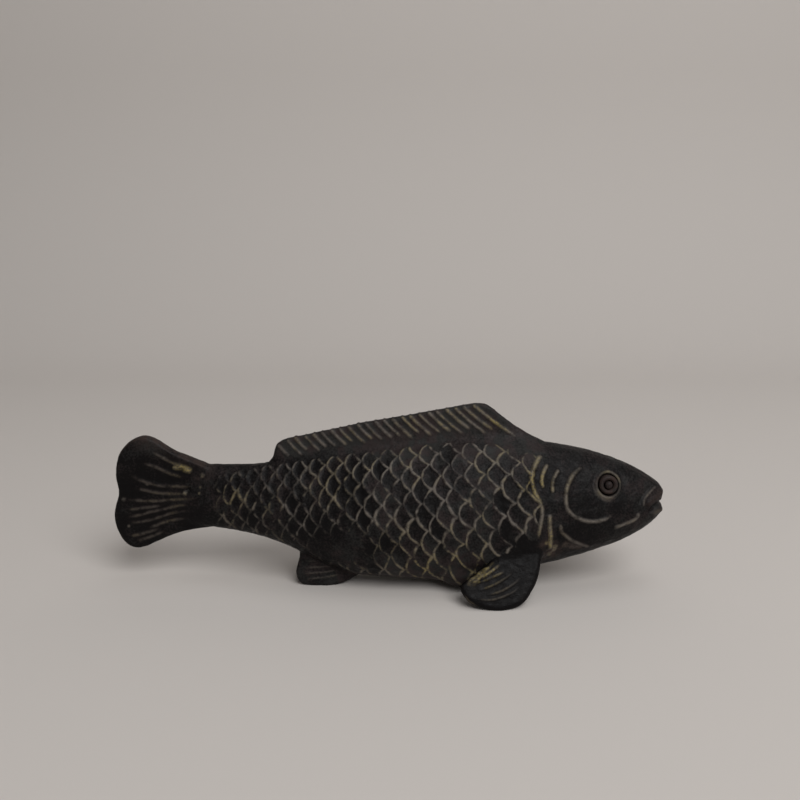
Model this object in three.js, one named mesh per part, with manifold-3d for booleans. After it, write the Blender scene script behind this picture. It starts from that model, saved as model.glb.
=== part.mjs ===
// A carp-shaped paperweight that stands on its fins, cast in dark iron.
// Millimetres. +X points to the head, +Z up, and the four feet stand on Z = 0.
// The body, its back fin and its tail are one casting. The two pectoral fins, the two pelvic
// fins and the two-part eyes are separate pieces, set into sockets in the body.
import * as THREE from 'three';
import { mergeVertices } from 'three/addons/utils/BufferGeometryUtils.js';
import Module from 'manifold-3d';

const wasm = await Module();
wasm.setup();

// ---- driving dimensions -------------------------------------------------------------------
const LENGTH = 200;            // snout to tail
const GAP = 0.3;               // clearance between pieces that are set into each other
const NOSE_X = LENGTH / 2;
const TAIL_X = -LENGTH / 2;

// body sections from the root of the tail to the snout: [x, top, bottom, half width]
const BODY_SECTIONS = [
  [-84, 33.0, 33.0, 0.0],
  [-79, 40.5, 25.0, 2.6],
  [-71, 44.6, 21.0, 4.4],
  [-62, 44.5, 20.6, 6.2],
  [-50, 44.4, 18.7, 7.8],
  [-38, 45.4, 14.9, 10.0],
  [-26, 47.4, 9.4, 12.8],
  [-13, 49.4, 4.2, 15.4],
  [0, 51.4, 2.7, 17.2],
  [15, 53.2, 1.7, 18.0],
  [29, 54.6, 0.9, 18.0],
  [43, 54.8, 3.4, 17.4],
  [55, 53.0, 7.2, 16.4],
  [64, 51.6, 9.6, 15.2],
  [74, 49.4, 12.4, 13.6],
  [83, 46.4, 15.6, 11.6],
  [91, 42.8, 19.6, 9.4],
  [96.5, 39.3, 23.9, 7.2],
  [99.2, 36.8, 27.6, 4.8],
  [NOSE_X, 33.0, 33.0, 0.0],
];
const SECTION_FLATNESS = 0.88; // under 1 makes the flanks flatter than an ellipse
const BACK_TAPER = 0.2;        // how much narrower the section is above its middle than below
const RINGS_ALONG = 60;
const POINTS_AROUND = 32;
const SPLINE_STEPS = 3;        // facets between two outline points
const EDGE_STEPS = 3;          // facets round half of a plate's rounded edge
const PLATE_FLAT = 1e-3;       // height of the flat strip in the middle of a plate's rounded edge
const WELD = 1e-4;             // points closer than this are one point

// back fin, in the plane of symmetry: [x, z], rear base to front base
const BACK_FIN_EDGE = [
  [-42.6, 45.4], [-41, 47.4], [-40, 51.2], [-38.3, 53], [-33.5, 54.7], [-10, 59.8], [10, 63.4],
  [26.5, 66.4], [30.7, 67.2], [34.2, 67.2], [36.5, 66.3], [39.4, 64.2], [43.7, 60.7],
  [50, 56.4], [57.5, 52.6],
];
const BACK_FIN_ROOT_DEPTH = 7;   // how far the fin's web runs down inside the body
const BACK_FIN_HALF_RIM = 1.4;   // half its thickness at the rim
const BACK_FIN_FLARE = 0.11;     // growth of that half thickness per mm going down to the body
const BACK_FIN_FLARE_RISE = 6;   // the flare starts this far above the line between the fin's ends

// tail fin, in the plane of symmetry: [x, z], from the upper root round the end to the lower root
const TAIL_EDGE = [
  [-58, 40], [-64, 44.1], [-69.5, 46.5], [-77.1, 49.9], [-83, 53.9], [-88, 55.2], [-93.2, 52.5],
  [-97, 47.2], [-98.2, 40], [-97.6, 33.8], [-99.2, 28.6], [TAIL_X, 23.5], [-98.6, 18],
  [-95.2, 13.4], [-90.5, 12.4], [-83.6, 15.5], [-76, 18.6], [-69, 20], [-63, 21], [-58, 24.5],
];
const TAIL_HALF_RIM = 1.7;
const TAIL_FLARE = 0.028;        // growth of the half thickness per mm towards the body

// fins that the fish stands on: a plate with rounded edges, leaning on the floor.
// edge: [x, distance up the slope from the floor]; stem: the tenon in the body's socket
const PECTORAL = {
  lean: THREE.MathUtils.degToRad(60),    // slope of the plate from the floor
  footY: 25.4,                           // where the plate's middle meets the floor
  thickness: 3.2,
  edge: [[54.6, 23.5], [46.6, 24], [39.9, 18], [33.9, 14], [28.6, 10], [25.8, 8], [26.3, 5],
    [28.9, 1.9], [32.6, 0.2], [37, -0.7], [41, -0.6], [44.8, 0.5], [48.2, 2.6], [50.9, 6.4],
    [53, 10.8], [54.4, 17]],
  cup: 1.6,                              // how far the free end curls outwards
  cupFrom: 52,
  stem: { centre: [50, 11.2, 17.4], size: [6.4, 11, 3.2], tilt: 0 },
};
const PELVIC = {
  lean: THREE.MathUtils.degToRad(82),
  footY: 5.2,
  thickness: 3.0,
  edge: [[-11.6, 8], [-20, 14], [-28.6, 17.5], [-30.8, 13.4], [-32.4, 9], [-33.3, 4.8], [-32.2, 1],
    [-27.4, -0.8], [-20, -0.6], [-14.4, 1.4], [-11, 4]],
  cup: 0.8,
  cupFrom: -14,
  stem: { centre: [-20.5, 3.75, 10.4], size: [6, 7.6, 2.4], tilt: THREE.MathUtils.degToRad(98) },
};

// eyes: a turned ring round a domed pin, sunk in a round socket
const EYE = {
  centre: [78.2, 10.2, 40.05],           // middle of the left eye's outer face
  facing: [0.05, 0.97, 0.17],            // the way the left eye looks
  ringRadius: 3.35,
  ringHole: 1.75,
  ringDepth: 2.2,                        // from the outer face to the underside
  ringEdge: 0.1,                         // height of the outer edge above the outer face
  ringCrown: 0.65,                       // height of the flat crown
  ringBevel: 0.55,                       // width of the bevel on each side of the crown
  pinRadius: 1.4,
  pinShank: 0.8,                         // radius of the shank behind the head
  pinDepth: 5.2,                         // from the outer face to the end of the shank
  pinEdge: 0.2,                          // height of the edge of the dome
  pinDome: 0.95,                         // height of the dome above that edge
  domeSteps: 3,
  socketMouth: 4,                        // how far the socket's cut goes on above the outer face
  sides: 28,
};

const FLOOR_BLOCK = [2 * LENGTH, LENGTH, 20];   // block below Z = 0 that cuts the feet flat

// ---- solids -------------------------------------------------------------------------------
function solid(geometry) {
  const bare = geometry.clone();
  for (const name of Object.keys(bare.attributes)) if (name !== 'position') bare.deleteAttribute(name);
  const merged = mergeVertices(bare, WELD);
  return new wasm.Manifold(new wasm.Mesh({
    numProp: 3,
    vertProperties: new Float32Array(merged.attributes.position.array),
    triVerts: new Uint32Array(merged.index.array),
  }));
}

function geometryOf(manifold) {
  const { vertProperties, triVerts } = manifold.getMesh();
  const geometry = new THREE.BufferGeometry();
  geometry.setAttribute('position', new THREE.BufferAttribute(new Float32Array(vertProperties), 3));
  geometry.setIndex(new THREE.BufferAttribute(new Uint32Array(triVerts), 1));
  geometry.computeVertexNormals();
  return geometry;
}

// moves every vertex of a geometry by a function of its position
function deform(geometry, move) {
  const position = geometry.attributes.position;
  const point = new THREE.Vector3();
  for (let i = 0; i < position.count; i++) {
    point.fromBufferAttribute(position, i);
    move(point);
    position.setXYZ(i, point.x, point.y, point.z);
  }
  return geometry;
}

// the body: a sphere with its poles on X, drawn out through the sections.
// extra grows it evenly, to cut clearance round it
function bodyLoft(extra = 0) {
  const outline = new THREE.CatmullRomCurve3(
    BODY_SECTIONS.map(([x, top, bottom]) => new THREE.Vector3(x, top, bottom)), false, 'catmullrom');
  const widths = new THREE.CatmullRomCurve3(
    BODY_SECTIONS.map(([x, , , half]) => new THREE.Vector3(x, half, 0)), false, 'catmullrom');
  const sphere = new THREE.SphereGeometry(1, POINTS_AROUND, RINGS_ALONG).rotateZ(-Math.PI / 2);
  return deform(sphere, (p) => {
    const along = THREE.MathUtils.clamp(1 - Math.acos(THREE.MathUtils.clamp(p.x, -1, 1)) / Math.PI, 0, 1);
    const around = Math.atan2(p.z, p.y);
    const { x, y: top, z: bottom } = outline.getPoint(along);
    const atPole = along < WELD || along > 1 - WELD;
    const half = atPole ? 0 : Math.max(widths.getPoint(along).y, 0) + extra;
    const rise = atPole ? 0 : (top - bottom) / 2 + extra;
    const lean = 1 - BACK_TAPER * Math.sin(around);
    const across = Math.sign(Math.cos(around)) * Math.abs(Math.cos(around)) ** SECTION_FLATNESS;
    p.set(x + extra * Math.sign(along - 0.5) * (atPole ? 1 : 0), half * across * lean,
      (top + bottom) / 2 + rise * Math.sin(around));
  });
}

// a flat shape with a fully rounded edge, lying in the XY plane with its middle on Z = 0
function roundedPlate(shape, thickness) {
  const round = thickness / 2;
  return new THREE.ExtrudeGeometry(shape, {
    depth: PLATE_FLAT, curveSegments: SPLINE_STEPS, bevelEnabled: true,
    bevelThickness: round, bevelSize: round, bevelOffset: -round, bevelSegments: EDGE_STEPS,
  });
}

function splineShape(points) {
  const [first, ...rest] = points.map(([x, y]) => new THREE.Vector2(x, y));
  const shape = new THREE.Shape();
  shape.moveTo(first.x, first.y);
  shape.splineThru([...rest, first]);
  return shape;
}

// a plate in the plane of symmetry; halfAt gives its half thickness at (x, z)
function uprightPlate(shape, halfAt) {
  const plate = roundedPlate(shape, 2).rotateX(Math.PI / 2);
  return deform(plate, (p) => { p.y *= halfAt(p.x, p.z); });
}

function backFin() {
  const edge = BACK_FIN_EDGE.map(([x, z]) => new THREE.Vector2(x, z));
  const rear = edge[0];
  const front = edge[edge.length - 1];
  const shape = new THREE.Shape();
  shape.moveTo(rear.x + BACK_FIN_ROOT_DEPTH, rear.y - BACK_FIN_ROOT_DEPTH);
  shape.lineTo(rear.x, rear.y);
  shape.splineThru(edge.slice(1));
  shape.lineTo(front.x - BACK_FIN_ROOT_DEPTH, front.y - BACK_FIN_ROOT_DEPTH);
  const slope = (front.y - rear.y) / (front.x - rear.x);
  const flareTop = (x) => rear.y + slope * (x - rear.x) + BACK_FIN_FLARE_RISE;
  return uprightPlate(shape, (x, z) => BACK_FIN_HALF_RIM + BACK_FIN_FLARE * Math.max(flareTop(x) - z, 0));
}

function tailFin() {
  return uprightPlate(splineShape(TAIL_EDGE), (x) => TAIL_HALF_RIM + TAIL_FLARE * (x - TAIL_X));
}

// the left fin of a pair, before its root is cut back to the body
function leaningPlate({ edge, thickness, lean, footY, cup, cupFrom }) {
  const reach = Math.max(...edge.map(([x]) => cupFrom - x));
  const plate = deform(roundedPlate(splineShape(edge), thickness), (p) => {
    p.z -= cup * (Math.max(cupFrom - p.x, 0) / reach) ** 2;
  });
  return plate.rotateX(Math.PI - lean).translate(0, footY, 0);
}

function stemBox({ centre, size, tilt }, extra = 0) {
  const [x, y, z] = size;
  return new THREE.BoxGeometry(x + 2 * extra, y + 2 * extra, z + 2 * extra)
    .rotateX(tilt).translate(...centre);
}

// turns a closed profile [radius, height] round the eye's axis, on the left side of the head
function turnedEye(profile) {
  const lathe = new THREE.LatheGeometry(profile.map(([r, h]) => new THREE.Vector2(r, h)), EYE.sides);
  const aim = new THREE.Quaternion().setFromUnitVectors(
    new THREE.Vector3(0, 1, 0), new THREE.Vector3(...EYE.facing).normalize());
  return lathe.applyQuaternion(aim).translate(...EYE.centre);
}

function eyeRing() {
  const { ringRadius: outer, ringHole: hole, ringDepth: deep, ringEdge, ringCrown, ringBevel } = EYE;
  return turnedEye([[hole, -deep], [outer, -deep], [outer, ringEdge], [outer - ringBevel, ringCrown],
    [hole + ringBevel, ringCrown], [hole, ringEdge], [hole, -deep]]);
}

function eyePin() {
  const { pinRadius: head, pinShank: shank, ringDepth: deep, pinDepth, pinEdge, pinDome, domeSteps } = EYE;
  const dome = Array.from({ length: domeSteps }, (_, i) => {
    const turn = (Math.PI / 2) * (i / domeSteps);
    return [head * Math.cos(turn), pinEdge + pinDome * Math.sin(turn)];
  });
  return turnedEye([[0, -pinDepth], [shank, -pinDepth], [shank, -deep], [head, -deep],
    ...dome, [0, pinEdge + pinDome]]);
}

function eyeSocket() {
  const { ringRadius: outer, pinShank: shank, ringDepth: deep, pinDepth, socketMouth } = EYE;
  return turnedEye([[0, -pinDepth - GAP], [shank + GAP, -pinDepth - GAP], [shank + GAP, -deep - GAP],
    [outer + GAP, -deep - GAP], [outer + GAP, socketMouth], [0, socketMouth]]);
}

// the same piece on the other side of the fish
function mirrored(geometry) {
  const twin = geometry.clone().scale(1, -1, 1);
  const index = twin.index ?? new THREE.BufferAttribute(
    new Uint32Array(Array.from({ length: twin.attributes.position.count }, (_, i) => i)), 1);
  const flipped = Array.from(index.array);
  for (let i = 0; i < flipped.length; i += 3) [flipped[i], flipped[i + 1]] = [flipped[i + 1], flipped[i]];
  twin.setIndex(flipped);
  return twin;
}

// ---- pieces -------------------------------------------------------------------------------
const clearance = solid(bodyLoft(GAP));
const underFloor = solid(new THREE.BoxGeometry(...FLOOR_BLOCK).translate(0, 0, -FLOOR_BLOCK[2] / 2));

function bodyCasting() {
  let casting = solid(bodyLoft()).add(solid(backFin())).add(solid(tailFin()));
  const cuts = [stemBox(PECTORAL.stem, GAP), stemBox(PELVIC.stem, GAP), eyeSocket()];
  for (const cut of cuts) casting = casting.subtract(solid(cut)).subtract(solid(mirrored(cut)));
  return geometryOf(casting);
}

function leftFin(fin) {
  const blade = solid(leaningPlate(fin)).subtract(clearance);
  return geometryOf(blade.add(solid(stemBox(fin.stem))).subtract(underFloor));
}

const IRON = { color: 0x1d1b1b, roughness: 0.45, metalness: 0.8 };
const IRON_WORN = { color: 0x2b2622, roughness: 0.4, metalness: 0.8 };
const RING_METAL = { color: 0x4a372d, roughness: 0.4, metalness: 0.9 };
const PIN_METAL = { color: 0x16161a, roughness: 0.3, metalness: 0.8 };

const group = new THREE.Group();
group.name = 'carp_paperweight';

function add(name, geometry, finish) {
  const mesh = new THREE.Mesh(geometry, new THREE.MeshStandardMaterial(finish));
  mesh.name = name;
  group.add(mesh);
}

add('body_casting', bodyCasting(), IRON);
const pairs = {
  pectoral_fin: [leftFin(PECTORAL), IRON_WORN],
  pelvic_fin: [leftFin(PELVIC), IRON_WORN],
  eye_ring: [geometryOf(solid(eyeRing())), RING_METAL],
  eye_pin: [geometryOf(solid(eyePin())), PIN_METAL],
};
for (const [name, [geometry, finish]] of Object.entries(pairs)) {
  add(`left_${name}`, geometry, finish);
  add(`right_${name}`, mirrored(geometry), finish);
}

export default group;
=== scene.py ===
import math

import bmesh
import bpy
import numpy as np
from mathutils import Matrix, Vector
from mathutils.bvhtree import BVHTree


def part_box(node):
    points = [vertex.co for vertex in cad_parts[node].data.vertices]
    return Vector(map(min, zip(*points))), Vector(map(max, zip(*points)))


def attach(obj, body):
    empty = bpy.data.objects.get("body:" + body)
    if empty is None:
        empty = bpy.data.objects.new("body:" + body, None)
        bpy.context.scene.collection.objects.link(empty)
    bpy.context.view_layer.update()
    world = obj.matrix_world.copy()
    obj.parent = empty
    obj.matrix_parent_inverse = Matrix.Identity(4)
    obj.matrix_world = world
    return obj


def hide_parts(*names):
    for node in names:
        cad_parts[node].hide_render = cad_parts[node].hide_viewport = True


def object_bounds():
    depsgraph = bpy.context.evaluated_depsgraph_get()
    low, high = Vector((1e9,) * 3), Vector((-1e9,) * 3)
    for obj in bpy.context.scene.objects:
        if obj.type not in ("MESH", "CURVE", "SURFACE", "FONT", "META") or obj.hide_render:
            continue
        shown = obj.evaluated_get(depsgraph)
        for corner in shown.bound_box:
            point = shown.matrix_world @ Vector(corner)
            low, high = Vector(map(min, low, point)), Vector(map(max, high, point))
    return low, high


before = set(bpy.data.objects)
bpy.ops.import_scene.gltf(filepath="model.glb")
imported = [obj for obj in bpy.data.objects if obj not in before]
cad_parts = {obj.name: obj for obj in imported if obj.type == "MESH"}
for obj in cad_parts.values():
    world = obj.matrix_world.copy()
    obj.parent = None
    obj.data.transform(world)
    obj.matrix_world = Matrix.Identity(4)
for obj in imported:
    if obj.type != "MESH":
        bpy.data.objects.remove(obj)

cad_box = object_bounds()

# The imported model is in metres. Everything below is in millimetres in the same frame: +X to the
# head, +Z up, the right side of the fish at -Y. Curves on the flank are (x, z) points.
MM = 0.001
SIDEWAYS = Vector((0, 1, 0))
CASTING = "body_casting"
FINS = ["left_pectoral_fin", "right_pectoral_fin", "left_pelvic_fin", "right_pelvic_fin"]


# ---- fields --------------------------------------------------------------------------------
NOISE_GRID = 32              # cells of noise before it repeats
CURVE_STEP = 0.3             # mm between the points of a smooth curve


def ramp(low, high, x):
    """0 up to low, 1 from high on, smooth between; low may be the greater."""
    t = np.clip((x - low) / (high - low), 0, 1)
    return t * t * (3 - 2 * t)


def from_centre(x, z, centre, radii):
    """Distance from the centre of an upright oval, 1 on the oval itself."""
    return np.hypot((x - centre[0]) / radii[0], (z - centre[1]) / radii[1])


def bell(x, middle, width):
    """1 in the middle, and down to a third a width away."""
    return np.exp(-((x - middle) / width) ** 2)


def lumps(points, size, seed):
    """Smooth noise from -1 to 1 with lumps about `size` mm across."""
    table = np.random.default_rng(seed).uniform(-1, 1, (NOISE_GRID,) * 3)
    cell = np.floor(points / size).astype(int)
    t = points / size - cell
    t = t * t * (3 - 2 * t)
    total = 0
    for corner in np.ndindex(2, 2, 2):
        weight = np.where(corner, t, 1 - t).prod(1)
        i, j, k = ((cell + corner) % NOISE_GRID).T
        total = total + weight * table[i, j, k]
    return total


def spline(points):
    """Close points along a smooth curve (Catmull-Rom) through the given ones."""
    points = np.array(points, float)
    padded = np.vstack([2 * points[0] - points[1], points, 2 * points[-1] - points[-2]])
    out = []
    for i in range(1, len(padded) - 2):
        a, b, c, d = padded[i - 1:i + 3]
        count = max(2, int(np.linalg.norm(c - b) / CURVE_STEP) + 1)
        t = np.linspace(0, 1, count, endpoint=False)[:, None]
        out.append(0.5 * (2 * b + (c - a) * t + (2 * a - 5 * b + 4 * c - d) * t**2
                          + (3 * b - a - 3 * c + d) * t**3))
    out.append(points[-1:])
    return np.vstack(out)


# ---- meshes --------------------------------------------------------------------------------
VOXEL = 0.37                 # mm, spacing of the fine mesh of the body and fins
EYE_VOXEL = 0.12
FIT_GAP = 0.45               # mm, grows a fin over the clearance round its stem
STEP_IN, STEP_OUT = 0.6, -0.62    # shares of the way to the neighbours' mean, in relax
FILL_SHARE = 0.8                  # the same, in fill_hollows
FILL_BATCH = 10                   # rounds of filling for each new set of normals
SOME = 0.01                  # shares up to this count as none
WELD = 1e-6                  # metres
OUTSIDE = -100               # mm, y of a place well to the right of the fish


def read_vertices(mesh):
    """The vertices in mm, a row each."""
    flat = np.empty(len(mesh.vertices) * 3, np.float32)
    mesh.vertices.foreach_get("co", flat)
    return flat.reshape(-1, 3).astype(float) / MM


def write_vertices(mesh, points):
    """Puts the vertices at points in mm."""
    mesh.vertices.foreach_set("co", (points * MM).astype(np.float32).ravel())
    mesh.update()


def read_edges(mesh):
    flat = np.empty(len(mesh.edges) * 2, np.int32)
    mesh.edges.foreach_get("vertices", flat)
    return flat.reshape(-1, 2)


def read_normals(mesh):
    flat = np.empty(len(mesh.vertices) * 3, np.float32)
    mesh.vertex_normals.foreach_get("vector", flat)
    return flat.reshape(-1, 3).astype(float)


def add_value(mesh, name, values):
    """Keeps a number for each vertex, for the material to read."""
    layer = mesh.attributes.new(name, "FLOAT", "POINT")
    layer.data.foreach_set("value", values.astype(np.float32))


def tree_of_mesh(mesh):
    """A search tree for the nearest point of a mesh and for rays that hit it."""
    work = bmesh.new()
    work.from_mesh(mesh)
    tree = BVHTree.FromBMesh(work)
    work.free()
    return tree


def tree_of(node):
    """The same for a CAD node."""
    return tree_of_mesh(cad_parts[node].data)


def flank_point(tree, x, z):
    """Where a line from the right side at (x, z) meets the fish, or None."""
    return tree.ray_cast(Vector((x, OUTSIDE, z)) * MM, SIDEWAYS)[0]


class Ties:
    """Which vertices are joined, to average over neighbours."""

    def __init__(self, edges, size):
        self.a, self.b = edges.T
        self.size = size
        self.count = np.maximum(
            np.bincount(self.a, minlength=self.size) + np.bincount(self.b, minlength=self.size), 1)

    def mean(self, values):
        """For each vertex, the mean of its neighbours' values."""
        if values.ndim > 1:
            return np.stack([self.mean(column) for column in values.T], 1)
        return (np.bincount(self.a, values[self.b], self.size)
                + np.bincount(self.b, values[self.a], self.size)) / self.count

    def largest_part(self):
        """True for the vertices of the largest connected part."""
        label = np.arange(self.size)
        while True:
            low = np.minimum(label[self.a], label[self.b])
            new = label.copy()
            np.minimum.at(new, self.a, low)
            np.minimum.at(new, self.b, low)
            new = new[new]
            if (new == label).all():
                return label == np.bincount(label).argmax()
            label = new


def joined_mesh(nodes):
    """One mesh of several CAD nodes. The fins are grown by the clearance, so that they touch the
    body."""
    work = bmesh.new()
    for node in nodes:
        part = bmesh.new()
        part.from_mesh(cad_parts[node].data)
        bmesh.ops.remove_doubles(part, verts=part.verts, dist=WELD)
        if node in FINS:
            part.normal_update()
            for v in part.verts:
                v.co += v.normal * FIT_GAP * MM
        spare = bpy.data.meshes.new(node)
        part.to_mesh(spare)
        part.free()
        work.from_mesh(spare)
    mesh = bpy.data.meshes.new("joined")
    work.to_mesh(mesh)
    work.free()
    return mesh


def fine_skin(nodes, name, voxel):
    """An even fine mesh over CAD nodes, without what the remesh leaves inside."""
    skin = bpy.data.objects.new(name, joined_mesh(nodes))
    bpy.context.scene.collection.objects.link(skin)
    remesh = skin.modifiers.new("remesh", "REMESH")
    remesh.mode = "VOXEL"
    remesh.voxel_size = voxel * MM
    graph = bpy.context.evaluated_depsgraph_get()
    mesh = bpy.data.meshes.new_from_object(skin.evaluated_get(graph))
    skin.modifiers.clear()
    outer = Ties(read_edges(mesh), len(mesh.vertices)).largest_part()
    work = bmesh.new()
    work.from_mesh(mesh)
    work.verts.ensure_lookup_table()
    bmesh.ops.delete(work, geom=[work.verts[i] for i in np.nonzero(~outer)[0]], context="VERTS")
    work.to_mesh(mesh)
    work.free()
    mesh.polygons.foreach_set("use_smooth", [True] * len(mesh.polygons))
    mesh.materials.clear()
    skin.data = mesh
    return skin


def relax(mesh, rounds, share=1.0):
    """Smooths without shrinking: each round moves in by one step and back out by a larger one."""
    points = read_vertices(mesh)
    ties = Ties(read_edges(mesh), len(points))
    share = np.broadcast_to(share, len(points))[:, None]
    for _ in range(rounds):
        for step in (STEP_IN, STEP_OUT):
            points = points + (ties.mean(points) - points) * step * share
    write_vertices(mesh, points)


def fill_hollows(mesh, rounds, share):
    """Rounds inside corners into fillets, where share is over 0, and leaves outside corners."""
    some = np.nonzero(share > SOME)[0]
    rank = np.full(len(share), -1)
    rank[some] = np.arange(len(some))
    edges = rank[read_edges(mesh)]
    ties = Ties(edges[(edges >= 0).all(1)], len(some))
    for _ in range(rounds // FILL_BATCH):
        every, normals = read_vertices(mesh), read_normals(mesh)[some]
        points = every[some]
        for _ in range(FILL_BATCH):
            out = ((ties.mean(points) - points) * normals).sum(1)
            points = points + normals * (np.maximum(out, 0) * FILL_SHARE * share[some])[:, None]
        every[some] = points
        write_vertices(mesh, every)


# ---- relief --------------------------------------------------------------------------------
PLAIN_TONE = 0.25            # tone of the black where nothing changes it
TONE_RANGE = (-0.5, 1)
CHUNK = 4000                 # vertices measured at a time, to save memory
LINE_REACH = 6               # how far a line is felt, in half widths
FOOT_HEIGHT, FOOT_WIDTH = 0.35, 2.6    # of the foot of a line, as shares of the line's own
TINY = 1e-6                  # lets a line's fade be 0
BULGE_ROUNDS = 3


class Relief:
    """What is laid on the casting, vertex by vertex and alike on both sides: height in mm, gold
    (how much of the pale wash is left), rub (brown bare metal) and tone (paleness of the black, in
    places painted shade and painted sheen)."""

    def __init__(self, mesh, fins):
        self.mesh = mesh
        self.body, self.fins = 1 - fins, fins
        self.points = read_vertices(mesh)
        self.near = np.stack([self.points[:, 0], -np.abs(self.points[:, 1]), self.points[:, 2]], 1)
        self.tree = tree_of_mesh(mesh)
        self.height = np.zeros(len(self.points))
        self.gold = np.zeros(len(self.points))
        self.rub = np.zeros(len(self.points))
        self.tone = np.full(len(self.points), PLAIN_TONE)

    def lay(self, curve):
        """3-D points where an (x, z) curve falls on the right flank."""
        found = []
        for x, z in spline(curve):
            hit = flank_point(self.tree, x, z)
            if hit is not None:
                found.append(np.array(hit) / MM)
        return np.array(found)

    def away(self, curve, reach, flat=False):
        """Distance of each vertex from a curve, up to reach, and where along it (0 to 1). The curve
        is laid on the flank, or with flat it cuts across the fish like a wire."""
        away = np.full(len(self.near), float(reach))
        along = np.zeros(len(self.near))
        laid = spline(curve) if flat else self.lay(curve)
        if len(laid) == 0:
            return away, along
        near = self.near[:, ::2] if flat else self.near
        low, high = laid.min(0) - reach, laid.max(0) + reach
        close = np.nonzero(((near > low) & (near < high)).all(1))[0]
        for chunk in np.array_split(close, max(1, len(close) // CHUNK)):
            gap = np.linalg.norm(near[chunk, None] - laid[None], axis=2)
            nearest = gap.argmin(1)
            away[chunk] = np.minimum(gap[np.arange(len(chunk)), nearest], reach)
            along[chunk] = nearest / (len(laid) - 1)
        return away, along

    def line(self, curve, height, width, gold=0.0, rub=0.0, fade=(0.12, 0.12), flat=False,
             share=None):
        """A raised line along a curve, or a groove where height is negative, on a wider and lower
        foot. fade is how much of each end dies out."""
        away, along = self.away(curve, LINE_REACH * width, flat)
        share = self.body if share is None else share
        share = share * ramp(-TINY, fade[0], along) * ramp(-TINY, fade[1], 1 - along)
        core = bell(away, 0, width) * share
        foot = FOOT_HEIGHT * bell(away, 0, FOOT_WIDTH * width) * share
        self.height += height * (core + foot)
        self.gold = np.maximum(self.gold, gold * core)
        self.rub = np.maximum(self.rub, rub * core)

    def spot(self, x, z, radius, height, gold):
        """A small bump or pit on both flanks."""
        core = bell(np.hypot(self.near[:, 0] - x, self.near[:, 2] - z), 0, radius)
        self.height += height * core
        self.gold = np.maximum(self.gold, gold * core)

    def finish(self, low, high):
        """Moves the vertices, but not out of the CAD's box, and keeps what the material reads.
        bulge is how far a vertex stands out from those round it."""
        normals = read_normals(self.mesh)
        raised = self.points + normals * self.height[:, None]
        write_vertices(self.mesh, np.clip(raised, low, high))
        ties, normals = Ties(read_edges(self.mesh), len(raised)), read_normals(self.mesh)
        points = read_vertices(self.mesh)
        bulge = ((points - ties.mean(points)) * normals).sum(1)
        for _ in range(BULGE_ROUNDS):
            bulge = ties.mean(bulge)
        add_value(self.mesh, "gold", np.clip(self.gold, 0, 1))
        add_value(self.mesh, "rub", np.clip(self.rub, 0, 1))
        add_value(self.mesh, "tone", np.clip(self.tone, *TONE_RANGE))
        add_value(self.mesh, "bulge", bulge / VOXEL)


# ---- the fish: lines and places ------------------------------------------------------------
EYE_FACING = np.array([0.05, -0.97, 0.17])
EYE_DEPTH = 6                # mm in front of the eye's middle and behind it that belong to the eye
EYE_RIM = 4.4                # radius of the raised rim round the eye's groove
EYE_RIM_TOP = math.radians(60)    # where on it the line of wash is strongest
EYE_HOLLOWS = [(5.7, 0.8, 0.15), (3.5, 0.4, 0.3)]      # beside the rim: radius, half width, depth
EYE_SMEAR = 4.9              # radius of the broad smear of wash behind the eye

# Where the scales stop: above, below, and at the gill cover
SCALES_TOP = [(-60, 41.5), (-54, 42.6), (-41, 44.9), (-20, 48.4), (7, 51.9), (22, 53.7),
              (38, 53.4), (49, 51), (55, 50)]
SCALES_FOOT = [(-62, 22), (-45, 20), (-35, 17), (-20, 9), (-5, 6), (12, 5), (30, 5), (42, 12),
               (56, 17)]
SCALES_FRONT = [(54.6, 51), (54.4, 49.5), (52, 47.4), (50.7, 44.7), (50.7, 42), (51.7, 38.8),
                (53.4, 35.4), (54.1, 32.9), (53.9, 29.4), (53.3, 25.8), (52.8, 22.1), (52.8, 10)]

# Ovals on the flank, each as its centre and radii: no scales at the first, faint ones in the
# second (above the rear fin), and most of the wash gone in the third
FRONT_FIN_ROOT = (49.5, 18), (5.5, 5)
SMOOTH_PATCH = (-18, 18), (13, 8)
RUBBED_PATCH = (-8, 18.5), (14, 8)
# At the gill cover's lower corner the bare metal and a spatter of the wash show
GILL_CORNER = (57, 17.5), (5.5, 4.5)
# Above the front fin, and where the belly runs into the tip of that fin: fillets, painted shade
# over the hollow above the fin, and a slight sag
SHOULDER = (49, 16), (9, 9)
FIN_TIP = (24, 6), (8, 5)
PAINTED_SHADE_PATCH = (45, 17), (12, 5.5)
SAG = (26, 5.5), (7, 6)
SAG_DEPTH = 2.2

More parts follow.
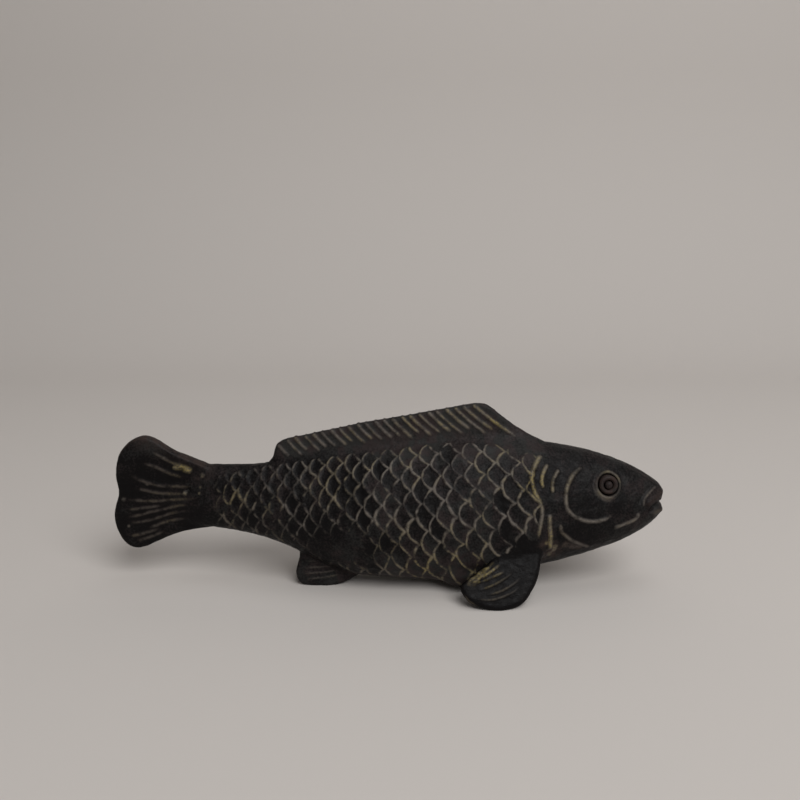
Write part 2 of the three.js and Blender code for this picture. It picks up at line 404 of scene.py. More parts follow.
# Each line: its (x, z) points, height, half width, gold, rub
HEAD_LINES = [
    (SCALES_FRONT[1:-1], 0.42, 0.6, 0.9, 0),                                        # gill cover
    ([(54.6, 50.4), (53, 48.6), (51.4, 46), (50.8, 43)], 0.2, 0.7, 0.95, 0.3),
    ([(56.7, 47.6), (54.7, 44.6), (54.2, 41.9), (54.8, 39.9)], 0.35, 0.55, 1.0, 0),
    ([(60.7, 45.9), (58.7, 43.3), (57.9, 40.6), (58, 38.2)], 0.35, 0.55, 0.85, 0),
    ([(56.9, 31.9), (56.8, 28.4), (57.4, 23.7), (57.5, 19.7), (57.3, 17.6)],
     0.38, 0.66, 0.88, 0.5),
    ([(60.8, 28.2), (61.1, 25.4), (63.1, 22.9), (66, 20.6), (70, 18.5), (72.5, 17.1)],
     0.35, 0.62, 0.52, 0.5),
    ([(61.5, 20), (65, 18.6), (70, 18)], 0.1, 1.5, 0.2, 0.9),
    ([(69.6, 46.2), (66.7, 44.9), (64.5, 42.7), (63.1, 40), (62.5, 36.7), (63, 33.4), (64.5, 31.1),
      (66.8, 29.5), (71.4, 28), (75.9, 28.2), (80.1, 30.1)], 0.45, 0.62, 0.82, 0),  # cheek
    ([(89.5, 30), (88.3, 27.5), (83.9, 25.8), (80, 24.7)], 0.4, 0.62, 0.7, 0.4),     # jaw
    ([(96.9, 37.6), (94.8, 36.6), (92.4, 34.9), (91.3, 33), (91.6, 31.3)], 0.15, 0.4, 0.5, 0),
    ([(95.9, 38.6), (92.8, 36.9), (90.2, 34.5), (89.7, 32.3)], -0.3, 0.6, 0, 0),    # behind the lip
]

# Lips and the slit between them, cut across the snout from side to side
MOUTH_LINES = [
    ([(99.8, 35.4), (97.6, 34.7), (95.2, 33.6), (93.2, 32.2), (92.6, 30.8)], 0.4, 1.0, 0, 0.45),
    ([(99.8, 28.6), (97.8, 29.1), (96, 28.6), (94.4, 27.4)], 0.35, 0.8, 0.3, 0.4),
    ([(100.5, 31.2), (98.4, 31.8), (96.2, 31.4), (94.4, 30), (93, 28.4)], -1.5, 0.55, 0, 0),
]

DORSAL_ROOT = np.array([(-36, 47), (-18.5, 51.1), (0, 54), (23.7, 56.2), (46, 56.8)]).T
DORSAL_RIM = [(-40, 51.2), (-38.3, 53), (-33.5, 54.7), (-10, 59.8), (10, 63.4), (26.5, 66.4),
              (31, 67.2)]
FIRST_RAY = 30.6             # x of the tip of the foremost ray of the back fin
RAY_SPACING = 3.15
RAYS = 23
LONGEST_RAY = 20             # mm, along x
# Along the back fin, by x: how steep the rays are, and how much wash they hold
RAY_SLOPE = np.array([(-40, 1.0), (0, 0.95), (24, 0.82), (31, 0.74)]).T
RAY_GOLD = np.array([(-40, 0.7), (-10, 0.8), (6, 0.92), (20, 1.0)]).T

# Ridges of the tail plate, from its edge to its root
TAIL_RAYS = [
    [(-84.6, 50.2), (-81.2, 48.1), (-77, 45.7), (-70.8, 43.3)],
    [(-88.5, 45.9), (-82.9, 44), (-79.8, 42.5), (-76.2, 41), (-70.7, 39.8)],
    [(-93.6, 41.4), (-90.1, 39.6), (-85.5, 37.9), (-81.2, 37), (-76.4, 37), (-67, 37.1)],
    [(-92.2, 36.2), (-85.7, 34.9), (-81.4, 34.1), (-75, 34.4), (-70, 35)],
    [(-96.2, 31.9), (-90.7, 31.4), (-83.8, 31.2), (-76.5, 32.2), (-70, 32.9), (-64.8, 33.3)],
    [(-95, 27.6), (-88, 28.6), (-80, 29.8)],
    [(-96.1, 24.7), (-91.1, 25.6), (-86.2, 27), (-80.7, 28.2), (-74.7, 30.1), (-68.1, 31.2)],
    [(-95.7, 22.6), (-89.8, 23.2), (-85.1, 24.3), (-80.1, 26.1), (-74.9, 27.7), (-68.3, 28.5)],
    [(-88, 20.6), (-84.4, 21.8), (-80.2, 23.4), (-75.3, 24.6), (-70.9, 26)],
    [(-94.8, 17.3), (-90.1, 18.4), (-86.8, 19.4), (-82.1, 21)],
    [(-92.1, 15.4), (-89.4, 16.4), (-85.6, 17.8), (-80.3, 20.1)],
]

# A short broad patch of the wash at the root of the tail
TAIL_GILT = [(-77, 44.9), (-73.5, 43.7), (-69.5, 42.5)]

# Casting marks on the tail: x, z, radius, height, gold
# The second mark is partly pale bare metal and partly a painted glint on the lit lower wall of the
# pit
TAIL_MARKS = [(-71.6, 36, 0.95, -1.5, 0), (-72.7, 34.6, 0.7, 0.2, 1.0),
              (-67.3, 35.1, 0.5, 0.3, 0.5), (-66.9, 37.2, 0.5, 0.2, 0.3),
              (-95.6, 31.7, 0.8, 0.3, 0.5), (-94.5, 21.4, 0.6, 0.3, 0.5),
              (-86.6, 37.7, 0.7, 0.2, 0.4), (-66.3, 41.4, 0.8, 0.2, 0.6),
              (-79.9, 47.4, 0.7, 0.2, 0.5)]

# Ridges of the fins that it stands on, and the lower edge of the front one
PECTORAL_EDGE = [(26.1, 5.8), (28.7, 2.8), (32.4, 1.2)]
PECTORAL_RAYS = [
    [(31.5, 7.1), (34.5, 7.5), (38.3, 8.8), (42.2, 10.7), (45, 13)],
    [(33.5, 5.2), (38.9, 6.2), (42.1, 7.5), (45.3, 9.3), (48, 12)],
    [(30.3, 4.6), (35, 3.9), (39.2, 4.5), (44, 6.2), (48, 9)],
]
# Gilt ridges along the front fin's upper edge: curve, half width, gold
PECTORAL_GILT = [
    ([(27.6, 8.6), (29.6, 10.1), (32.3, 11.8), (35.4, 13.6), (38.4, 15.2)], 0.75, 1.0),
    ([(28.6, 8.4), (31.2, 9.9), (34.4, 11.3), (37.6, 13), (40, 14.6)], 0.5, 0.8),
    ([(30.4, 8.9), (35, 10), (38.9, 11.4), (42.1, 12.8)], 0.42, 0.55),
    ([(27.6, 8.2), (31, 10.2), (36.5, 13)], 1.5, 0.42),
]
PELVIC_RAYS = [
    [(-18.5, 14), (-23.7, 14.2), (-27.7, 12.9), (-30.2, 11.3)],
    [(-17, 11.6), (-22.4, 10.7), (-26.5, 9.6), (-30.5, 9.1)],
    [(-16.5, 9.2), (-21.5, 7.6), (-26.2, 7), (-31.7, 6.9)],
    [(-15.5, 6.8), (-21.5, 5.4), (-26.6, 5), (-32, 4.7)],
    [(-15.6, 4.8), (-20.9, 3.6), (-26.6, 3), (-30.6, 2.4)],
]

# Patches where the wash is gold and not grey: x, z, radius, amount
GILT = [(52, 41, 6, 0.9), (56.5, 22, 5, 0.8), (27, 14, 9, 0.7), (39, 60, 4, 1.0),
        (-73, 43.6, 5, 1.0), (34, 11, 6, 1.0), (-18, 40, 9, 0.4), (8, 60, 5, 0.5),
        (-55, 34, 6, 0.6), (3, 19, 9, 0.5), (13, 11, 8, 0.8), (24, 62, 4, 0.4), (64, 41, 5, 0.3)]

# How much paler the black is there, or darker where negative; some are painted shade or sheen
SNOUT_TONE = 0.4
# Painted sheen on the nape
PAINTED_NAPE_SHEEN = 0.55
# Painted shade on the front fins
FRONT_FIN_PAINTED_SHADE = -0.55
REAR_FIN_TONE = 0.3
DORSAL_TONE = 0.5
# Painted shade over the tail
TAIL_PAINTED_SHADE = -0.28
# Painted shade on the lower head
CHEEK_PAINTED_SHADE = -0.12
# Painted shade over the hollow above the front fin
PAINTED_SHADE_TONE = -0.4

# Unevenness of the cast face: height, size in mm, seed
CAST_SKIN = [(0.13, 7, 3), (0.08, 2.2, 4), (0.05, 1.1, 7)]


# ---- the fish: shaping ---------------------------------------------------------------------
def middle_line(x):
    """Height of the line along the flank that the rows of scales are counted from."""
    return 31.5 + 0.02 * x


BLUNT = 7                    # mm from the middle line in which the flank's curve counts for less


def girth(points, widest):
    """Distance round the flank from the middle line, downwards. widest is the flank's distance
    from the plane of symmetry at the middle line."""
    x, y, z = points.T
    rise = z - middle_line(x)
    return -rise * np.hypot(1, np.maximum(widest - np.abs(y), 0) / np.maximum(np.abs(rise), BLUNT))


# Columns of scales are counted along the fish and rows down the flank, in whole numbers. Both get
# closer together to the rear, where the scales are smaller, and the columns lean.
COLUMN_AT_0, ROW_AT_0 = -5.84, 4.65            # at x = 0 on the middle line
COLUMN_PER_MM, COLUMN_GROWTH = 0.2873, 0.00068
LEAN, LEAN_BY_X, LEAN_BY_DOWN = 0.0368, 0.00044, 0.00074
ROW_TILT, ROW_BEND = 0.0188, 0.0004
ROW_PER_MM, ROW_BY_X, ROW_BY_DOWN = 0.2229, 0.0005, 0.0008
SCALLOP_DEPTH = 0.78         # how far a scale's free edge curves back, in columns
SCALLOP_POWER = 1.9
SCALE_HALF_TALLNESS = 4.5    # mm
PLAIN_COLUMN = -9.0          # the scales of this column, and of all behind it, are alike in tone
FAR = 9.0                    # mm, further than any edge
STATIONS = np.arange(-70, 100, 2.0)            # x where the width of the body is measured


def scale_edges(points, widest):
    """Distance from the nearest free edge of a scale, and a number from 0 to 1 for each scale (0
    for all of them from PLAIN_COLUMN to the rear). Scales lie in upright columns, each half a scale
    lower than the last, with their free edges to the tail. They grow towards the head, and the
    columns lean forwards going down."""
    x = points[:, 0]
    down = girth(points, widest)
    column = (COLUMN_AT_0 + x * (COLUMN_PER_MM - COLUMN_GROWTH * x)
              - down * (LEAN + LEAN_BY_X * x + LEAN_BY_DOWN * down))
    row = (ROW_AT_0 + x * (ROW_TILT - ROW_BEND * x)
           + down * (ROW_PER_MM - ROW_BY_X * x - ROW_BY_DOWN * down))
    # Noise keeps them from being too regular
    column = column + 0.13 * lumps(points, 6, 5) + 0.06 * lumps(points, 1.9, 15)
    row = row + 0.13 * lumps(points, 6, 6) + 0.05 * lumps(points, 1.9, 16)
    length = 1 / (COLUMN_PER_MM - 2 * COLUMN_GROWTH * x)
    best = np.full(len(x), FAR)
    own = np.zeros(len(x))
    deepest = np.full(len(x), PLAIN_COLUMN)
    for step in (1, 0, -1, -2):
        k = np.floor(column) + step
        r = (row - k) / 2
        v = np.abs(2 * (r - np.round(r)))
        free_edge = k + SCALLOP_DEPTH * v ** SCALLOP_POWER
        turn = SCALLOP_DEPTH * SCALLOP_POWER * v ** (SCALLOP_POWER - 1)
        slope = turn * length / SCALE_HALF_TALLNESS
        gap = np.abs(column - free_edge) / np.hypot(1, slope) * length
        best = np.minimum(best, gap)
        inside = (column > free_edge) & (k > deepest)
        # Any number will do that looks random from scale to scale
        number = np.modf(np.abs(np.sin(k * 12.99 + np.round(r) * 78.2)) * 437.5)[0]
        own = np.where(inside, number, own)
        deepest = np.where(inside, k, deepest)
    return best, own


def raise_scales(relief):
    """The net of raised scale edges, with the wash on it in patches, and each scale's own tone."""
    p = relief.near
    x, _, z = p.T
    body = tree_of(CASTING)
    widest = [-flank_point(body, station, middle_line(station)).y / MM for station in STATIONS]
    edge, own = scale_edges(p, np.interp(x, STATIONS, widest))
    front_x, front_z = np.array(SCALES_FRONT[::-1]).T
    inside = (
        relief.body
        * ramp(-0.5, 0.7, np.interp(x, *np.array(SCALES_TOP).T) - z)
        * ramp(-2, 2.5, z - np.interp(x, *np.array(SCALES_FOOT).T))
        * ramp(-0.9, 0.3, np.interp(z, front_z, front_x) - x)
        * ramp(-64, -58, x)
        * ramp(0.7, 1.2, from_centre(x, z, *FRONT_FIN_ROOT)))
    smooth = ramp(1.25, 0.45, from_centre(x, z, *SMOOTH_PATCH))
    inside *= 1 - 0.75 * smooth
    # The wash is broken at two sizes, and thinner to the rear and in the rubbed patch
    patchy = np.clip(0.78 + 0.62 * lumps(p, 5, 11) + 0.72 * lumps(p, 1.4, 12), 0.03, 1.3)
    width = 0.36 + 0.15 * lumps(p, 2, 13) + 0.06 * ramp(10, -30, x)
    core = bell(edge, 0, width) * inside
    # A raised edge on a broad foot, and each scale a little higher or lower than the next
    relief.height += 0.3 * core * np.clip(patchy, 0.5, 1.1)
    relief.height += (0.2 * bell(edge, 0, 1.4) + 0.14 * (own - 0.5) * ramp(0.3, 1.0, edge)) * inside
    rubbed_off = ramp(1.25, 0.75, from_centre(x, z, *RUBBED_PATCH))
    left = (1 - 0.45 * ramp(20, -40, x) - 0.3 * smooth) * (1 - 0.55 * rubbed_off)
    relief.gold = np.maximum(relief.gold, core * patchy * left)
    # Each scale in front has its own tone, and all are paler along the edge, in the low rows and to
    # the rear
    relief.tone += (0.7 * (own - 0.5) + 0.25 * bell(edge, 0, 1.3)) * inside
    relief.tone += 0.6 * ramp(22, 12, z) * ramp(-6, 4, x) * ramp(50, 36, x) * relief.body
    relief.tone += (0.15 * ramp(-4, -16, x) - 0.06 * ramp(20, 32, x)) * inside


def raise_dorsal_rays(relief):
    """Straight rays that lean back up from the root of the back fin to its rim. The sines make them
    a little uneven."""
    rim = np.array(DORSAL_RIM).T
    for k in range(RAYS):
        tip_x = FIRST_RAY - RAY_SPACING * k - 0.45 * math.sin(5.1 * k) ** 2
        tip_z = np.interp(tip_x, *rim) - 0.1
        slope = np.interp(tip_x, *RAY_SLOPE)
        run = np.arange(0, LONGEST_RAY, 0.1)
        below = tip_z - slope * run < np.interp(tip_x + run, *DORSAL_ROOT) + 0.3
        run = run[below.argmax()] * (1.2 if k == 0 else 0.98 + 0.1 * math.sin(3.7 * k))
        middle = (tip_x + 0.48 * run, tip_z - slope * 0.52 * run)
        gold = np.interp(tip_x, *RAY_GOLD)
        gold *= 0.88 + 0.12 * math.cos(2.4 * k)
        relief.line([(tip_x, tip_z), middle, (tip_x + run, tip_z - slope * run)], height=0.32,
                    width=0.45 + 0.07 * math.sin(2.9 * k), gold=gold, rub=0.3, fade=(0.04, 0.2))
    relief.line(DORSAL_RIM, height=0, width=0.6, gold=0.16, rub=0.8)
    x, _, z = relief.near.T
    relief.tone += DORSAL_TONE * ramp(-1, 1.5, z - np.interp(x, *DORSAL_ROOT)) * ramp(-42, -38, x)


def raise_tail(relief):
    """The rays and marks of the tail, painted shade darkening the whole plate, a painted glint
    in its pit, and browner along its upper edge.
    """
    for ray in TAIL_RAYS:
        relief.line(ray, height=0.36, width=0.62, gold=0.29, rub=0.4, fade=(0.2, 0.35))
    patchy = np.clip(0.8 + 0.6 * lumps(relief.near, 1.5, 22), 0.3, 1)
    relief.line(TAIL_GILT, height=0.25, width=1.1, gold=1.0, fade=(0.1, 0.3), share=patchy)
    x, _, z = relief.near.T
    plate = ramp(-60, -68, x)
    # Painted shade: the whole tail plate darker
    relief.tone += TAIL_PAINTED_SHADE * plate
    upward = ramp(0.15, 0.6, read_normals(relief.mesh)[:, 2])
    upper = 0.45 * ramp(-2, 8, z - (41 - 0.35 * (x + 65)))
    relief.rub = np.maximum(relief.rub, plate * np.maximum(upper, 0.75 * upward))
    for mark in TAIL_MARKS:
        relief.spot(*mark)


def raise_fins(relief):
    """The ridges of the fins that it stands on."""
    fins = relief.fins
    for rays, fade in (PECTORAL_RAYS, (0.3, 0.4)), (PELVIC_RAYS, (0.3, 0.3)):
        for ray in rays:
            relief.line(ray, height=0.2, width=0.42, gold=0.3, rub=0.1, fade=fade, share=fins)
    patchy = np.clip(0.75 + 0.6 * lumps(relief.near, 1.1, 21), 0.1, 1)
    for ridge, width, gold in PECTORAL_GILT:
        relief.line(ridge, 0.2, width, gold, rub=0.3, fade=(0.2, 0.25), share=patchy)
    relief.line(PECTORAL_EDGE, height=0, width=0.6, gold=0.35, rub=0.6, fade=(0.3, 0.4), share=fins)


def raise_eye_rim(relief, eye):
    """A low rim round the eye's groove, with the wash on it above and behind."""
    offset = relief.near - eye
    out = offset @ (EYE_FACING / np.linalg.norm(EYE_FACING))
    away = np.sqrt(np.maximum((offset**2).sum(1) - out**2, 0))
    angle = np.arctan2(offset[:, 2], offset[:, 0])
    here = np.abs(out) < EYE_DEPTH
    core = bell(away, EYE_RIM, 0.5) * here
    relief.height += 0.35 * core
    hollow = sum(depth * bell(away, radius, width) for radius, width, depth in EYE_HOLLOWS)
    relief.height -= hollow * here
    above = np.cos(angle - EYE_RIM_TOP)
    relief.gold = np.maximum(relief.gold, core * (0.12 + 0.55 * np.abs(above) ** 1.5))
    behind = 0.5 - 0.5 * above
    broad = bell(away, EYE_SMEAR, 0.9) * here * behind**2
    relief.gold = np.maximum(relief.gold, 0.4 * broad)
    relief.tone += 0.5 * broad


NEAR_FIN = 3                 # mm


def measure_fins(points):
    """For each vertex near a fin: which fin, how much nearer it is to the fin than to the body, and
    its distance from the body."""
    body = tree_of(CASTING)
    owner, clear = np.zeros(len(points), int), np.zeros(len(points))
    excess = np.full(len(points), -FAR)
    for k, fin in enumerate(FINS, 1):
        tree = tree_of(fin)
        low, high = (np.array(corner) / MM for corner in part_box(fin))
        for i in np.nonzero(((points > low - NEAR_FIN) & (points < high + NEAR_FIN)).all(1))[0]:
            place = Vector(points[i] * MM)
            clear[i] = body.find_nearest(place)[3] / MM
            excess[i] = clear[i] - tree.find_nearest(place)[3] / MM
            owner[i] = k
    return owner, excess, clear


def round_skin(mesh, eye):
    """Rounds the edges a little and fills the roots of the fins as on a casting, but keeps the
    eye's groove sharp."""
    x, _, z = read_vertices(mesh).T
    guard = ramp(4.0, 6.5, np.hypot(x - eye[0], z - eye[2]))
    relax(mesh, rounds=12, share=0.1 + 0.9 * guard)
    fill_hollows(mesh, rounds=60, share=guard)
    # The roots of the back fin and of the front fins, and what lies beside them
    upright = ramp(0.15, 0.5, np.abs(read_normals(mesh)[:, 1]))
    back = ramp(-6, -2, z - np.interp(x, *DORSAL_ROOT)) * upright
    shoulder = ramp(1.2, 0.7, from_centre(x, z, *SHOULDER)) * (z > 3)
    tip = ramp(1.2, 0.7, from_centre(x, z, *FIN_TIP)) * (z > 1)
    fin = np.maximum(shoulder, tip)
    fill_hollows(mesh, rounds=240, share=np.maximum(back, fin) * guard)
    fill_hollows(mesh, rounds=200, share=fin)
    relax(mesh, rounds=8, share=0.1 + 0.9 * guard)
    relax(mesh, rounds=40, share=ramp(-60, -66, x))      # the tail


def add_wear_and_painted_light(relief, corner):
    """Rubbed metal and paler or darker parts that belong to no line: painted shade on the front
    fins, the lower head and above the front fin, and a painted sheen on the nape. corner is 1 at
    the gill cover's lower corner."""
    x, _, z = relief.near.T
    belly = ramp(9, 3, z) * ramp(-24, -14, x) * ramp(52, 30, x) * relief.body
    relief.rub = np.maximum(relief.rub, np.maximum(0.6 * belly, corner))
    spattered = np.clip(0.15 + 0.9 * lumps(relief.near, 1.6, 23), 0, 0.5)
    relief.gold = np.maximum(relief.gold, corner * spattered)
    # The front fins are darkened all over as painted shade; the rear fins are paler
    front_or_rear = np.where(x > 0, FRONT_FIN_PAINTED_SHADE, REAR_FIN_TONE)
    relief.tone += SNOUT_TONE * ramp(84, 94, x) + front_or_rear * relief.fins
    # Painted shade: the lower head, which faces away from the light from above, darker
    relief.tone += CHEEK_PAINTED_SHADE * ramp(60, 66, x) * ramp(88, 82, x) * ramp(46, 42, z)
    # Painted shade: the flank above the front fin darkened where it turns under
    relief.tone += PAINTED_SHADE_TONE * ramp(1.3, 0.5, from_centre(x, z, *PAINTED_SHADE_PATCH)) * relief.body
    cloudy = 0.15 * lumps(relief.points, 12, 24)
    # Painted sheen: the nape and top of the head, which face the light from above, paler; and
    # random clouds
    relief.tone += PAINTED_NAPE_SHEEN * ramp(46, 52, z) * ramp(70, 50, x) + cloudy


def add_cast_skin(relief, corner):
    """The sag of the belly, and the slight unevenness of a cast face."""
    x, _, z = relief.near.T
    sag = ramp(1.2, 0.2, from_centre(x, z, *SAG)) * relief.body
    relief.height += SAG_DEPTH * sag * ramp(0.2, -0.6, read_normals(relief.mesh)[:, 2])
    relief.height += sum(height * lumps(relief.points, size, seed)
                         for height, size, seed in CAST_SKIN)
    relief.height += 0.15 * corner * lumps(relief.points, 1.4, 8)


def where_gilt(x, z):
    """1 where the wash is gold, 0 where it is grey."""
    gilt = np.zeros(len(x))
    for patch_x, patch_z, radius, amount in GILT:
        gilt = np.maximum(gilt, amount * bell(np.hypot(x - patch_x, z - patch_z), 0, radius))
    return gilt


def make_casting():
    """The body and the four fins, as one skin first, so that each fin flows into the body.
    Gives the skin and, for each of its faces, 0 on the body and 1 to 4 on a fin."""
    skin = fine_skin([CASTING] + FINS, "casting", VOXEL)
    mesh = skin.data
    eye = np.array(sum(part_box("right_eye_ring"), Vector()) / 2) / MM
    round_skin(mesh, eye)
    owner, excess, clear = measure_fins(read_vertices(mesh))
    relief = Relief(mesh, ramp(-0.4, 0.6, excess))
    relief.height -= FIT_GAP * ramp(0.8, 2.5, clear) * relief.fins
    raise_scales(relief)
    for curve, height, width, gold, rub in HEAD_LINES:
        relief.line(curve, height, width, gold, rub)
    for curve, height, width, gold, rub in MOUTH_LINES:
        relief.line(curve, height, width, gold, rub, fade=(0, 0.25), flat=True)
    raise_dorsal_rays(relief)
    raise_tail(relief)
    raise_fins(relief)
    raise_eye_rim(relief, eye)
    x, _, z = relief.near.T
    corner = ramp(1.2, 0.6, from_centre(x, z, *GILL_CORNER)) * relief.body
    add_wear_and_painted_light(relief, corner)
    add_cast_skin(relief, corner)
    add_value(mesh, "gilt", where_gilt(x, z))
    relief.finish(*(np.array(limit) / MM for limit in cad_box))
    faces = np.empty(len(mesh.loops), np.int32)
    mesh.loops.foreach_get("vertex_index", faces)
    faces = faces.reshape(-1, 4)             # the remesh makes nothing but quads
    return skin, np.where(excess[faces].mean(1) > 0, owner[faces].max(1), 0)


def split_casting(skin, node_of, iron):
    """Parts the skin into the body and the fins, closes each, and keeps the shading continuous."""
    mesh = skin.data
    normals = read_normals(mesh)
    layer = mesh.attributes.new("skin_normal", "FLOAT_VECTOR", "POINT")
    layer.data.foreach_set("vector", normals.astype(np.float32).ravel())
    for k, node in enumerate([CASTING] + FINS):
        work = bmesh.new()
        work.from_mesh(mesh)
        work.faces.ensure_lookup_table()
        others = [work.faces[i] for i in np.nonzero(node_of != k)[0]]
        bmesh.ops.delete(work, geom=others, context="FACES")
        rims = [e for e in work.edges if e.is_boundary]
        caps = bmesh.ops.holes_fill(work, edges=rims, sides=0)["faces"]
        bmesh.ops.triangulate(work, faces=caps)
        part = bpy.data.meshes.new(node)
        work.to_mesh(part)
        work.free()
        flat = np.empty(len(part.vertices) * 3, np.float32)
        part.attributes["skin_normal"].data.foreach_get("vector", flat)
        part.normals_split_custom_set_from_vertices(flat.reshape(-1, 3).tolist())
        piece = bpy.data.objects.new(f"carp_{node}", part)
        bpy.context.scene.collection.objects.link(piece)
        add_piece(piece, node, iron)
    bpy.data.objects.remove(skin)


def add_piece(piece, node, material):
    """Puts a piece in place of its CAD node: gives it the material, hangs it from the root and
    hides the node.
    """
    piece.data.materials.clear()
    piece.data.materials.append(material)
    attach(piece, "root")
    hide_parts(node)


EYE_ROUNDS = 30
EYE_FINISH = {"eye_ring": {"gold": 0, "gilt": 0, "bulge": 0, "rub": 0.9, "tone": 0.8},
              "eye_pin": {"gold": 0, "gilt": 0, "bulge": 0, "rub": 0.3, "tone": 0.6}}


def add_eye(side, iron):
    """The ring of one eye and the domed pin in it, each rounded from its CAD solid."""
    for part in ("eye_ring", "eye_pin"):
        node = f"{side}_{part}"
        piece = fine_skin([node], f"carp_{node}", EYE_VOXEL)
        relax(piece.data, EYE_ROUNDS)
        for name, amount in EYE_FINISH[part].items():
            add_value(piece.data, name, np.full(len(piece.data.vertices), amount))
        add_piece(piece, node, iron)


# ---- materials -----------------------------------------------------------------------------
NOISE_ROUGHNESS = 0.55


class Graph:
    """Short calls for building a material."""

    def __init__(self, name):
        self.material = bpy.data.materials.new(name)
        self.material.use_nodes = True
        self.nodes = self.material.node_tree.nodes
        self.links = self.material.node_tree.links
        self.shader = self.nodes["Principled BSDF"]
        self.coordinates = self.nodes.new("ShaderNodeTexCoord").outputs["Object"]

    def put(self, socket, value):
        if isinstance(value, bpy.types.NodeSocket):
            self.links.new(value, socket)
        elif isinstance(value, tuple):
            socket.default_value = (*value, 1)
        else:
            socket.default_value = value

    def value(self, name):
        """What add_value wrote on the vertices."""
        node = self.nodes.new("ShaderNodeAttribute")
        node.attribute_name = name
        return node.outputs["Fac"]

    def noise(self, size, detail=3.0):
        """Noise from 0 to 1 with features about `size` mm across."""
        node = self.nodes.new("ShaderNodeTexNoise")
        node.inputs["Scale"].default_value = 1 / (size * MM)
        node.inputs["Detail"].default_value = detail
        node.inputs["Roughness"].default_value = NOISE_ROUGHNESS
        self.links.new(self.coordinates, node.inputs["Vector"])
        return node.outputs["Fac"]

    def math(self, operation, a, b=0.0, clamp=False):
        node = self.nodes.new("ShaderNodeMath")
        node.operation = operation
        node.use_clamp = clamp
        self.put(node.inputs[0], a)
        self.put(node.inputs[1], b)
        return node.outputs[0]

    def spread(self, value, low, high, to_low=0.0, to_high=1.0):
        """Brings a value from low..high smoothly to to_low..to_high, and no further."""
        node = self.nodes.new("ShaderNodeMapRange")
        node.interpolation_type = "SMOOTHSTEP"
        self.put(node.inputs["Value"], value)
        ends = {"From Min": low, "From Max": high, "To Min": to_low, "To Max": to_high}
        for name, number in ends.items():
            node.inputs[name].default_value = number
        return node.outputs["Result"]

    def mix(self, factor, a, b):
        node = self.nodes.new("ShaderNodeMix")
        node.data_type = "RGBA"
        self.put(node.inputs["Factor"], factor)
        self.put(node.inputs["A"], a)
        self.put(node.inputs["B"], b)
        return node.outputs["Result"]

    def bump(self, height, strength, distance, normal=None):
        """A bumpy normal, on top of another if one is given. distance is in mm."""
        node = self.nodes.new("ShaderNodeBump")
        node.inputs["Strength"].default_value = strength
        node.inputs["Distance"].default_value = distance * MM
        self.put(node.inputs["Height"], height)
        if normal is not None:
            self.links.new(normal, node.inputs["Normal"])
        return node.outputs["Normal"]


BLACK = (0.0036, 0.0030, 0.0032)          # the finish at tone 0
BLACK_WARM = (0.0270, 0.0205, 0.0200)     # at tone 1, in one place and in another
BLACK_COOL = (0.0222, 0.0213, 0.0205)
BROWN = (0.040, 0.027, 0.023)             # rubbed metal
BEIGE = (0.122, 0.107, 0.093)             # the wash, plain and gilt
GOLD = (0.24, 0.19, 0.07)
SPECULAR = 0.1


def iron_material():
    """Cast iron with a near-black finish, brown where it is rubbed, and a patchy grey to gold wash
    on its lines. The black is paler or darker by tone, in places painted shade and painted sheen."""
    g = Graph("blackened_cast_iron")
    large, middle, fine = g.noise(9), g.noise(2.6, detail=4), g.noise(0.7)
    # The black, paler or darker by tone (in places painted shade and painted sheen), and of two
    # tints
    uneven = g.math("ADD", g.spread(large, 0.3, 0.7, -0.3, 0.3),
                    g.spread(fine, 0.3, 0.7, -0.35, 0.35))
    pale = g.mix(g.spread(g.noise(5, detail=2), 0.42, 0.58), BLACK_WARM, BLACK_COOL)
    black = g.mix(g.math("ADD", g.value("tone"), uneven, clamp=True), BLACK, pale)
    # Brown metal, where it is rubbed and on what stands out
    convex = g.spread(g.value("bulge"), 0.02, 0.12, 0, 0.5)
    worn = g.math("MAXIMUM", g.math("MULTIPLY", g.value("rub"), g.spread(middle, 0.25, 0.65)),
                  g.math("MULTIPLY", convex, g.spread(middle, 0.35, 0.7)))
    colour = g.mix(worn, black, BROWN)
    # What is left of the wash, grey or gold
    kept = g.math("MULTIPLY", g.value("gold"), g.spread(middle, 0.25, 0.6, 0.35, 1.15))
    kept = g.math("MULTIPLY", kept, g.spread(fine, 0.25, 0.5, 0.6, 1.0))
    gilt = g.math("MAXIMUM", g.value("gilt"), g.spread(large, 0.48, 0.66, 0, 0.4))
    wash = g.mix(g.math("MULTIPLY", gilt, g.spread(fine, 0.3, 0.6)), BEIGE, GOLD)
    cover = g.math("MULTIPLY", g.math("SUBTRACT", kept, 0.06), 1.3, clamp=True)
    colour = g.mix(cover, colour, wash)
    g.put(g.shader.inputs["Base Color"], colour)
    g.put(g.shader.inputs["Roughness"], g.spread(middle, 0.3, 0.7, 0.40, 0.58))
    g.put(g.shader.inputs["Specular IOR Level"], SPECULAR)
    # The grain of the casting, coarse and fine
    coarse = g.bump(g.noise(1.6, detail=2), strength=0.7, distance=0.25)
    grain = g.bump(g.noise(0.45), strength=0.6, distance=0.13, normal=coarse)
    g.put(g.shader.inputs["Normal"], grain)
    return g.material


# ---- room ----------------------------------------------------------------------------------
CAMERA_PLACE = (4.75, -307.3, 142.7)
CAMERA_PITCH = 13.6          # degrees below the horizon
CAMERA_LENS = 40.0
CAMERA_SENSOR = 36.0

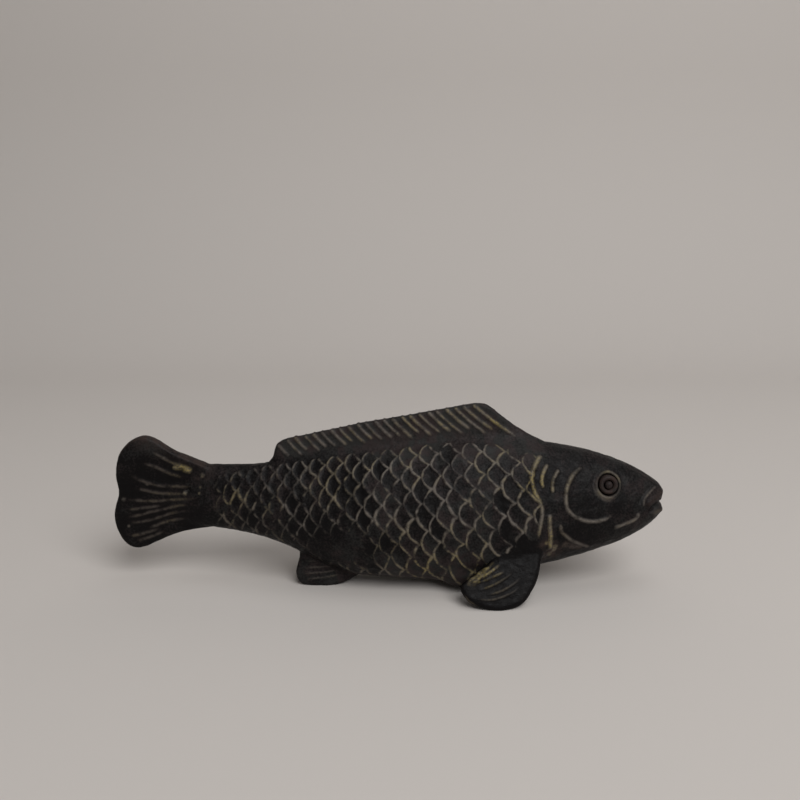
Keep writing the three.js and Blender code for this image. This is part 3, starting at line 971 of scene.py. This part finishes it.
# The rest of the room is in metres
FLOOR_FRONT, FLOOR_BACK, FLOOR_SIDE = -1.5, 0.35, 2.0
CURVE_RADIUS, CURVE_FACES = 0.25, 12      # where it turns up into the backdrop
BACKDROP_TOP = 1.8
FLOOR_COLOUR = (0.60, 0.565, 0.535, 1)
FLOOR_ROUGHNESS, FLOOR_SPECULAR = 0.9, 0.2
LIGHTS = [("key", (0.45, -0.92, 1.02), 1.0, 13.8),      # name, place, size, power in watts
          ("top", (0.3, 0.0, 1.25), 0.8, 2.3)]
LIGHT_TARGET = (0, 0, 0.03)
WORLD_COLOUR = (1, 0.97, 0.95, 1)
WORLD_STRENGTH = 0.165


def add_camera():
    data = bpy.data.cameras.new("camera")
    data.lens = CAMERA_LENS
    data.sensor_width = CAMERA_SENSOR
    data.clip_start = 0.01
    camera = bpy.data.objects.new("camera", data)
    camera.location = [v * MM for v in CAMERA_PLACE]
    camera.rotation_euler = (math.radians(90 - CAMERA_PITCH), 0, 0)
    bpy.context.scene.collection.objects.link(camera)
    bpy.context.scene.camera = camera


def add_floor():
    """A pale floor that curves up behind, far enough to fill the view."""
    turn = [math.radians(90 * k / CURVE_FACES) for k in range(CURVE_FACES + 1)]
    profile = [(FLOOR_FRONT, 0.0)]
    profile += [(FLOOR_BACK + CURVE_RADIUS * math.sin(a), CURVE_RADIUS * (1 - math.cos(a)))
                for a in turn]
    profile.append((FLOOR_BACK + CURVE_RADIUS, BACKDROP_TOP))
    mesh = bpy.data.meshes.new("floor")
    verts = [(side * FLOOR_SIDE, y, z) for y, z in profile for side in (-1, 1)]
    faces = [(2 * i, 2 * i + 1, 2 * i + 3, 2 * i + 2) for i in range(len(profile) - 1)]
    mesh.from_pydata(verts, [], faces)
    mesh.polygons.foreach_set("use_smooth", [True] * len(faces))
    floor = bpy.data.objects.new("floor", mesh)
    bpy.context.scene.collection.objects.link(floor)
    material = bpy.data.materials.new("pale_floor")
    material.use_nodes = True
    shader = material.node_tree.nodes["Principled BSDF"]
    shader.inputs["Base Color"].default_value = FLOOR_COLOUR
    shader.inputs["Roughness"].default_value = FLOOR_ROUGHNESS
    shader.inputs["Specular IOR Level"].default_value = FLOOR_SPECULAR
    mesh.materials.append(material)


def add_light(name, place, size, power):
    data = bpy.data.lights.new(name, "AREA")
    data.shape = "DISK"
    data.size = size
    data.energy = power
    lamp = bpy.data.objects.new(name, data)
    lamp.location = place
    lamp.rotation_euler = (Vector(LIGHT_TARGET) - Vector(place)).to_track_quat("-Z", "Y").to_euler()
    bpy.context.scene.collection.objects.link(lamp)


def add_room():
    add_floor()
    for light in LIGHTS:
        add_light(*light)
    world = bpy.data.worlds.new("world")
    world.use_nodes = True
    background = world.node_tree.nodes["Background"]
    background.inputs["Color"].default_value = WORLD_COLOUR
    background.inputs["Strength"].default_value = WORLD_STRENGTH
    bpy.context.scene.world = world
    bpy.context.scene.view_settings.view_transform = "Standard"


add_camera()
iron = iron_material()
split_casting(*make_casting(), iron)
for side in ("left", "right"):
    add_eye(side, iron)
add_room()
